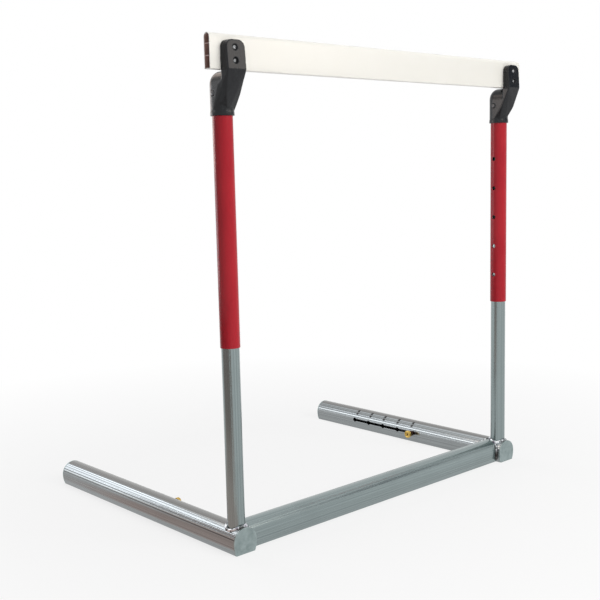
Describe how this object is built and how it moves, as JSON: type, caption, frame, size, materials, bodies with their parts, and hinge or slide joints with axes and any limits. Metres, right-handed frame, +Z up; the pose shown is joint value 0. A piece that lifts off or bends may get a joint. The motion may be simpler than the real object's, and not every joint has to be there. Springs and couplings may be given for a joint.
{
  "type": "track hurdle",
  "caption": "Height-adjustable athletics hurdle: gate board on sliding sleeves, round uprights, low base with long legs and sliding counterweights.",
  "frame": {"origin": "on the ground, in the middle of the overall width and depth", "axes": "+Z up to the top of the board, +Y back along the legs, away from the front of the board, +X to the right as seen from the front"},
  "size_m": [1.02, 0.735, 1.067],
  "materials": {
    "aluminium": "satin extruded, fine lines along the tube",
    "weld": "rippled weld bead",
    "red_coat": "satin red powder coat",
    "board": "semi-gloss warm white",
    "moulding": "satin black, fine grain",
    "zinc_steel": "bright zinc plate",
    "spring_steel": "drawn wire and strip",
    "weight_steel": "plain mill steel",
    "brass": "turned, satin",
    "dark_brass": "dull brown"
  },
  "bodies": {
    "base": {"base_crossbar": "aluminium", "left_leg_tube": "aluminium", "left_leg_front_plate": "aluminium", "left_leg_rear_plate": "aluminium", "left_upright_tube": "aluminium", "left_upright_weld": "weld", "left_crossbar_front_weld": "weld", "left_crossbar_rear_weld": "weld", "left_snap_spring": "spring_steel", "right_leg_tube": "aluminium", "right_leg_front_plate": "aluminium", "right_leg_rear_plate": "aluminium", "right_upright_tube": "aluminium", "right_upright_weld": "weld", "right_crossbar_front_weld": "weld", "right_crossbar_rear_weld": "weld", "right_snap_spring": "spring_steel"},
    "gate": {"gate_board": "board", "left_sleeve": "red_coat", "left_bracket": "moulding", "left_board_bolt_lower": "zinc_steel", "left_board_bolt_upper": "zinc_steel", "left_board_nut_lower": "zinc_steel", "left_board_nut_upper": "zinc_steel", "left_bracket_rivet": "zinc_steel", "right_sleeve": "red_coat", "right_bracket": "moulding", "right_board_bolt_lower": "zinc_steel", "right_board_bolt_upper": "zinc_steel", "right_board_nut_lower": "zinc_steel", "right_board_nut_upper": "zinc_steel", "right_bracket_rivet": "zinc_steel"},
    "left_button": {"left_snap_button": "zinc_steel"},
    "left_weight": {"left_counterweight": "weight_steel", "left_plunger_bush": "zinc_steel", "left_plunger_spring": "spring_steel"},
    "left_plunger": {"left_plunger_pin": "zinc_steel", "left_plunger_collar": "dark_brass", "left_plunger_knob": "brass"},
    "right_button": {"right_snap_button": "zinc_steel"},
    "right_weight": {"right_counterweight": "weight_steel", "right_plunger_bush": "zinc_steel", "right_plunger_spring": "spring_steel"},
    "right_plunger": {"right_plunger_pin": "zinc_steel", "right_plunger_collar": "dark_brass", "right_plunger_knob": "brass"}
  },
  "joints": [
    {"name": "gate_height", "type": "slide", "parent": "base", "child": "gate", "axis": [0, 0, 1], "range_m": [-0.305, 0]},
    {"name": "left_snap_button_slide", "type": "slide", "parent": "base", "child": "left_button", "axis": [1, 0, 0], "range_m": [0, 0.0045], "stiffness_N_per_m": 600, "springref_m": 0.0045, "deforming": ["left_snap_spring"]},
    {"name": "right_snap_button_slide", "type": "slide", "parent": "base", "child": "right_button", "axis": [-1, 0, 0], "range_m": [0, 0.0045], "stiffness_N_per_m": 600, "springref_m": 0.0045, "deforming": ["right_snap_spring"]},
    {"name": "left_weight_slide", "type": "slide", "parent": "base", "child": "left_weight", "axis": [0, 1, 0], "range_m": [0, 0.2348]},
    {"name": "right_weight_slide", "type": "slide", "parent": "base", "child": "right_weight", "axis": [0, 1, 0], "range_m": [0, 0.2348]},
    {"name": "left_plunger_pull", "type": "slide", "parent": "left_weight", "child": "left_plunger", "axis": [1, 0, 0], "range_m": [-0.003, 0.005], "stiffness_N_per_m": 400, "springref_m": -0.003, "deforming": ["left_plunger_spring"]},
    {"name": "right_plunger_pull", "type": "slide", "parent": "right_weight", "child": "right_plunger", "axis": [-1, 0, 0], "range_m": [-0.003, 0.005], "stiffness_N_per_m": 400, "springref_m": -0.003, "deforming": ["right_plunger_spring"]}
  ]
}
